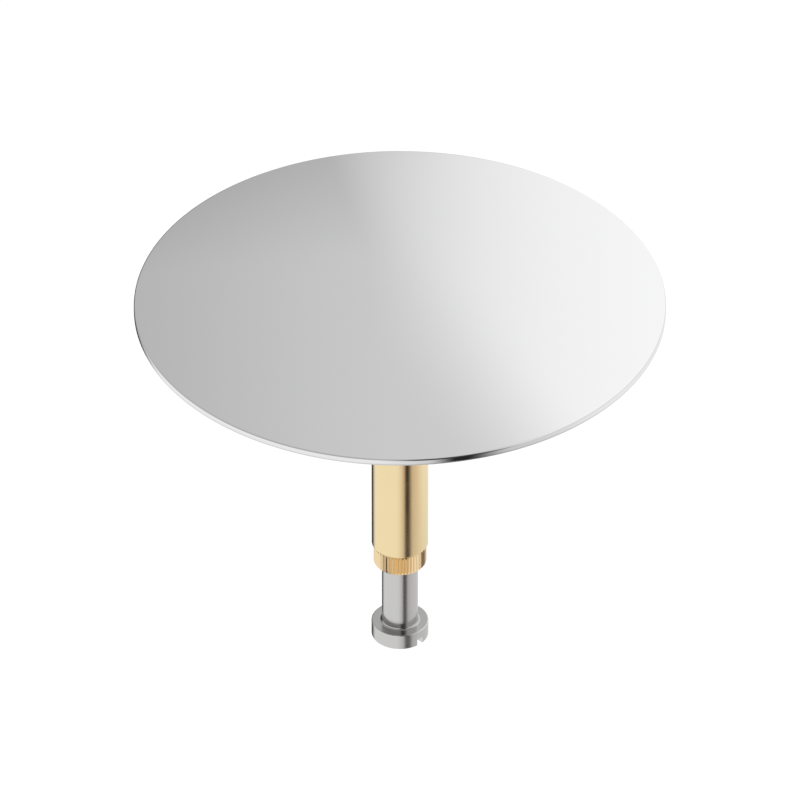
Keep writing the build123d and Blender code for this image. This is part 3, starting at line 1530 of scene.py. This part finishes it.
@dataclass
class Screw:
    """The steel screw whose slotted head sets how high the plug stands."""

    workshop: Workshop
    segments: int = 128
    head_height: float = 2.35 * MM
    head_round: float = 0.12 * MM
    neck_round: float = 0.28 * MM
    slot_width: float = 1.0 * MM
    slot_depth: float = 1.0 * MM
    slot_angle: float = -45.0
    slot_edge: float = 0.04 * MM
    thread_end: float = -41.2 * MM

    def build(self) -> None:
        """Turn the screw, cut its slot and its thread, and dress it."""
        box = NodeBox.of("adjusting_screw")
        screw = turned("slotted_screw", self._points(box), False, self.segments)
        combine(screw, self._slot(box), "DIFFERENCE")
        soften_edges(screw, self.slot_edge, 70.0)
        thread = self.workshop.thread
        finish = SatinSteel(name="screw steel").material(self.workshop.effects)
        thread.cut(screw, self.thread_end, box.top + thread.pitch, finish)
        dress(screw, Body.SCREW, "adjusting_screw", sharp_over=32.0)

    def _points(self, box: NodeBox) -> list[Point]:
        """Draw the screw's outline from its end down to the middle of its head.

        Args:
            box: The room that the screw takes up.

        Returns:
            The outline's points.
        """
        thread = self.workshop.thread
        head_top = box.bottom + self.head_height
        tip = thread.tip(box.top, -1.0)[::-1]
        shank = thread.shank(box.top - thread.lead_in, self.thread_end - thread.pitch)
        plain_top = shank[-1][1] - thread.pitch / thread.rows_per_turn
        lower = Outline(
            (
                Corner(thread.radius, plain_top),
                Corner(thread.radius, head_top, self.neck_round),
                Corner(box.radius, head_top, self.head_round),
                Corner(box.radius, box.bottom, self.head_round),
                Corner(0.0, box.bottom),
            ),
            closed=False,
        ).points()
        return [(0.0, box.top), *tip, *shank, *lower]

    def _slot(self, box: NodeBox) -> bpy.types.Object:
        """Make the block that cuts the screwdriver slot.

        Args:
            box: The room that the screw takes up.

        Returns:
            The block.
        """
        maker = bmesh.new()
        bmesh.ops.create_cube(maker, size=1.0)
        size = Vector((4 * box.radius, self.slot_width, 2 * self.slot_depth))
        bmesh.ops.scale(maker, vec=size, verts=maker.verts)
        turn_by = math.radians(self.slot_angle)
        for corner in maker.verts:
            x, y, z = corner.co
            corner.co = (
                x * math.cos(turn_by) - y * math.sin(turn_by),
                x * math.sin(turn_by) + y * math.cos(turn_by),
                z + box.bottom,
            )
        return new_piece("slot_cutter", maker)


@dataclass(frozen=True)
class Card:
    """A card beside the plug that only its metal reflects.

    Each span is four angles in degrees: where the card starts to show, where it is full, where it
    starts to fade and where it is gone. A flared card is wider towards the floor.
    """

    azimuth: tuple[float, float, float, float]
    elevation: tuple[float, float, float, float]
    radiance: float
    flare: float = 1.0


@dataclass(frozen=True)
class Patch:
    """A round patch of the tent, with a soft rim, that only the metal reflects."""

    azimuth: float
    elevation: float
    inner: float
    outer: float
    radiance: float


@dataclass(frozen=True)
class Gel:
    """A coloured sheet over a part of the tent, its spans like a card's."""

    azimuth: tuple[float, float, float, float]
    elevation: tuple[float, float, float, float]
    tint: Colour


@dataclass(frozen=True)
class Sweep:
    """The sheet over the plug: a grey side and a bright side with a slanting soft border.

    Places are measured from the tent's middle, in metres: x across the tent and z up.
    """

    grey_span: tuple[float, float] = (-53.0 * MM, 6.0 * MM)
    grey_glow: tuple[float, float] = (0.56, 0.73)
    shade_top: float = 0.139
    shade_foot: float = 0.124
    shade_slope: float = 11.3
    brightest: float = 1.2
    dip: float = 0.385
    dip_length: float = 21.0 * MM
    dip_end: float = -20.0 * MM
    far_span: tuple[float, float] = (60.0 * MM, 150.0 * MM)
    far_glow: float = 0.85
    border_lean: float = 1.2
    border_height: float = 0.158
    border_width: float = 32.0 * MM

    def glow(self, bench: Bench, place: Socket) -> Socket:
        """Paint the sheet.

        Args:
            bench: The tent's bench.
            place: The place on the tent.

        Returns:
            The sheet's radiance.
        """
        x, _, z = bench.split(place)
        low = bench.maths("SUBTRACT", self.shade_top, bench.maths("MAXIMUM", z, self.shade_foot))
        shadow = bench.maths("MULTIPLY", bench.maths("MAXIMUM", low, 0.0), self.shade_slope)
        grey = bench.maths("SUBTRACT", bench.ramp(x, *self.grey_span, *self.grey_glow), shadow)
        reach = bench.maths("DIVIDE", bench.maths("MAXIMUM", x, self.dip_end), -self.dip_length)
        dip = bench.maths("MULTIPLY", bench.maths("EXPONENT", reach), self.dip)
        near = bench.maths("SUBTRACT", self.brightest, dip)
        bright = bench.blend(bench.ramp(x, *self.far_span), near, self.far_glow)
        over = bench.maths("SUBTRACT", z, self.border_height)
        slant = bench.maths("SUBTRACT", x, bench.maths("MULTIPLY", over, self.border_lean))
        border = bench.ramp(slant, 0.0, self.border_width)
        return bench.blend(border, grey, bench.maths("MAXIMUM", bright, grey))


@dataclass
class Studio:
    """The floor, the light, the tent that the metal reflects, and the camera."""

    floor_height: float = -250.0 * MM
    floor_half: float = 4.0
    tent_radius: float = 220.0 * MM
    tent_height: float = -25.0 * MM
    lens: float = 405.0
    sensor: float = 36.0
    distance: float = 1226.4 * MM
    target_height: float = -15.47 * MM
    elevation: float = 36.17
    ambient: float = 0.8
    floor_grey: float = 0.9
    floor_glow: float = 1.1
    floor_glow_share: float = 0.75
    sweep_edge: tuple[float, float] = (4.0, 20.0)
    flare_span: tuple[float, float] = (-38.0, -26.0)
    sweep: Sweep = Sweep()
    cards: tuple[Card, ...] = (
        Card((100.0, 145.0, 165.0, 178.0), (-74.0, -56.0, 2.0, 14.0), 0.94),
        Card((60.0, 105.0, 160.0, 176.0), (-74.0, -56.0, -42.0, -36.0), 0.80),
        Card((-14.0, 20.0, 42.0, 94.0), (-58.0, -46.0, 20.0, 40.0), 0.70, 1.22),
        Card((-8.0, 9.0, 30.0, 50.0), (-22.0, -4.0, 66.0, 76.0), 0.06),
        Card((10.5, 22.0, 26.0, 46.0), (-88.0, -76.0, -8.0, 10.0), 0.02, 1.22),
        Card((17.0, 23.0, 28.0, 35.0), (-60.0, -52.0, -40.8, -39.6), 0.18, 1.22),
        Card((-190.0, -181.0, -149.0, -116.0), (-50.0, -44.0, 0.0, 14.0), 0.03),
        Card((-172.0, -162.0, -138.0, -112.0), (-32.0, -20.0, 14.0, 28.0), 0.03),
        Card((-165.0, -150.0, -110.0, -70.0), (22.0, 36.0, 70.0, 84.0), 0.55),
    )
    patches: tuple[Patch, ...] = (
        Patch(180.0, 23.0, 8.0, 12.5, 0.62),
        Patch(-30.0, 70.0, 20.0, 44.0, 0.50),
    )
    gels: tuple[Gel, ...] = (
        Gel((8.0, 28.0, 50.0, 120.0), (-40.4, -39.4, -31.0, -28.0), (1.0, 0.89, 0.82)),
        Gel((0.0, 16.0, 32.0, 44.0), (-40.4, -39.4, -31.0, -28.0), (1.0, 0.79, 0.70)),
    )

    def build(self) -> None:
        """Set the studio up round the plug."""
        self._view()
        self._world()
        self._floor()
        self._tent()
        self._lamps()
        self._camera()

    def _view(self) -> None:
        """Show colours as they are written."""
        bpy.context.scene.view_settings.view_transform = "Standard"

    def _world(self) -> None:
        """Light the plug softly from all round, before a white background."""
        world = bpy.data.worlds.new("studio")
        bpy.context.scene.world = world
        world.cycles_visibility.glossy = False
        bench = fresh_bench(world)
        path = bench.add("ShaderNodeLightPath")
        light = bench.add("ShaderNodeBackground")
        bench.feed(light.inputs["Color"], opaque(WHITE))
        bench.feed(light.inputs["Strength"], bench.blend(path.outputs["Is Camera Ray"], self.ambient, 1.0))
        output = bench.add("ShaderNodeOutputWorld")
        bench.feed(output.inputs["Surface"], light.outputs[0])

    def _floor(self) -> None:
        """Lay a pale floor that is white to the camera but keeps the plug's shadow."""
        maker = bmesh.new()
        half = self.floor_half
        corners = [
            maker.verts.new((x * half, y * half, self.floor_height))
            for x, y in ((-1, -1), (1, -1), (1, 1), (-1, 1))
        ]
        maker.faces.new(corners)
        floor = new_piece("floor", maker)
        material = bpy.data.materials.new("pale floor")
        bench = fresh_bench(material)
        matt = bench.add("ShaderNodeBsdfDiffuse")
        bench.feed(matt.inputs["Color"], opaque((self.floor_grey,) * 3))
        glow = bench.add("ShaderNodeEmission")
        bench.feed(glow.inputs["Color"], opaque(WHITE))
        bench.feed(glow.inputs["Strength"], self.floor_glow)
        path = bench.add("ShaderNodeLightPath")
        seen = bench.add("ShaderNodeMixShader")
        share = bench.maths("MULTIPLY", path.outputs["Is Camera Ray"], self.floor_glow_share)
        bench.feed(seen.inputs[0], share)
        bench.feed(seen.inputs[1], matt.outputs[0])
        bench.feed(seen.inputs[2], glow.outputs[0])
        clear = bench.add("ShaderNodeBsdfTransparent")
        sides = bench.add("ShaderNodeMixShader")
        bench.feed(sides.inputs[0], bench.add("ShaderNodeNewGeometry").outputs["Backfacing"])
        bench.feed(sides.inputs[1], seen.outputs[0])
        bench.feed(sides.inputs[2], clear.outputs[0])
        output = bench.add("ShaderNodeOutputMaterial")
        bench.feed(output.inputs["Surface"], sides.outputs[0])
        floor.data.materials.append(material)

    def _tent(self) -> None:
        """Hang a round tent about the plug for its metal to reflect."""
        maker = bmesh.new()
        bmesh.ops.create_uvsphere(maker, u_segments=96, v_segments=48, radius=self.tent_radius)
        tent = new_piece("light_tent", maker)
        tent.location.z = self.tent_height
        tent.data.materials.append(self._tent_material())
        for face in tent.data.polygons:
            face.use_smooth = True
        tent.visible_camera = False
        tent.visible_diffuse = False
        tent.visible_shadow = False
        tent.visible_volume_scatter = False

    def _tent_material(self) -> bpy.types.Material:
        """Paint the tent's glow: the sweep overhead, white walls, and the patches, cards and gels.

        Returns:
            The material.
        """
        material = bpy.data.materials.new("tent glow")
        material.cycles.emission_sampling = "NONE"
        bench = fresh_bench(material)
        place = bench.add("ShaderNodeTexCoord").outputs["Object"]
        normal = bench.add("ShaderNodeVectorMath", operation="NORMALIZE")
        bench.feed(normal.inputs[0], place)
        direction = normal.outputs[0]
        x, y, z = bench.split(direction)
        azimuth = bench.maths("ARCTAN2", x, bench.maths("MULTIPLY", y, -1.0))
        elevation = bench.maths("ARCSINE", z)
        overhead = bench.ramp(elevation, *map(math.radians, self.sweep_edge))
        glow = bench.blend(overhead, 1.0, self.sweep.glow(bench, place))
        for patch in self.patches:
            mask = self._patch_mask(bench, direction, patch)
            glow = bench.blend(mask, glow, patch.radiance)
        for card in self.cards:
            narrowing = bench.ramp(elevation, *map(math.radians, self.flare_span), 1.0 / card.flare, 1.0)
            flared = bench.maths("MULTIPLY", azimuth, narrowing)
            glow = bench.blend(self._hanging(bench, flared, elevation, card), glow, card.radiance)
        light = bench.add("ShaderNodeEmission")
        bench.feed(light.inputs["Strength"], glow)
        colour: Socket | Colour = WHITE
        for gel in self.gels:
            colour = bench.tint(self._hanging(bench, azimuth, elevation, gel), colour, gel.tint)
        bench.feed(light.inputs["Color"], colour)
        output = bench.add("ShaderNodeOutputMaterial")
        bench.feed(output.inputs["Surface"], light.outputs[0])
        return material

    def _hanging(self, bench: Bench, azimuth: Socket, elevation: Socket, sheet: Card | Gel) -> Socket:
        """Find where a card or a gel hangs.

        Args:
            bench: The tent's bench.
            azimuth: The azimuth of the place, in radians.
            elevation: Its elevation, in radians.
            sheet: The card or gel.

        Returns:
            1 on the sheet and 0 off it.
        """
        across = self._span_mask(bench, azimuth, sheet.azimuth)
        return bench.maths("MULTIPLY", across, self._span_mask(bench, elevation, sheet.elevation))

    def _span_mask(self, bench: Bench, angle: Socket, span: tuple[float, float, float, float]) -> Socket:
        """Find where an angle lies in a soft-edged span.

        Args:
            bench: The tent's bench.
            angle: The angle, in radians.
            span: The span's four angles, in degrees.

        Returns:
            1 inside the span and 0 outside it.
        """
        start, full, fading, end = (math.radians(limit) for limit in span)
        inwards = bench.ramp(angle, start, full)
        return bench.maths("MULTIPLY", inwards, bench.ramp(angle, fading, end, 1.0, 0.0))

    def _patch_mask(self, bench: Bench, direction: Socket, patch: Patch) -> Socket:
        """Find where a direction lies in a round patch.

        Args:
            bench: The tent's bench.
            direction: The direction from the tent's middle.
            patch: The patch.

        Returns:
            1 inside the patch and 0 outside it.
        """
        azimuth = math.radians(patch.azimuth)
        elevation = math.radians(patch.elevation)
        across = math.cos(elevation)
        centre = (across * math.sin(azimuth), -across * math.cos(azimuth), math.sin(elevation))
        product = bench.add("ShaderNodeVectorMath", operation="DOT_PRODUCT")
        bench.feed(product.inputs[0], direction)
        bench.feed(product.inputs[1], centre)
        inner = math.cos(math.radians(patch.inner))
        outer = math.cos(math.radians(patch.outer))
        return bench.ramp(product.outputs["Value"], outer, inner)

    def _lamps(self) -> None:
        """Hang a broad key lamp and a weaker one opposite, which the metal doesn't mirror."""
        for name, place, side, power in (
            ("key", (-0.7, -0.8, 1.0), 0.9, 5.0),
            ("fill", (0.9, 0.2, 0.6), 0.7, 1.6),
        ):
            lamp = bpy.data.lights.new(name, "AREA")
            lamp.shape = "DISK"
            lamp.size = side
            lamp.energy = power
            holder = bpy.data.objects.new(name, lamp)
            bpy.context.scene.collection.objects.link(holder)
            holder.location = place
            holder.rotation_euler = (-Vector(place)).to_track_quat("-Z", "Y").to_euler()
            holder.visible_glossy = False

    def _camera(self) -> None:
        """Point the camera down at the plug as in the photograph."""
        camera = bpy.data.cameras.new("camera")
        camera.lens = self.lens
        camera.sensor_width = self.sensor
        camera.clip_start = 0.05
        camera.clip_end = 20.0
        holder = bpy.data.objects.new("camera", camera)
        bpy.context.scene.collection.objects.link(holder)
        tilt = math.radians(self.elevation)
        holder.location = (
            0.0,
            -self.distance * math.cos(tilt),
            self.target_height + self.distance * math.sin(tilt),
        )
        holder.rotation_euler = (math.pi / 2 - tilt, 0.0, 0.0)
        bpy.context.scene.camera = holder


def main() -> None:
    """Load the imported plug, dress it and set it in its studio."""
    logging.basicConfig(level=logging.INFO, format="%(name)s: %(message)s")
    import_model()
    workshop = Workshop(Effects(), ring_of_copies(), MetricThread(screw_thread()))
    for assembly in (Cover, SealStack, Sleeve, LockNut, Screw):
        assembly(workshop).build()
    Studio().build()


if __name__ == "__main__":
    main()
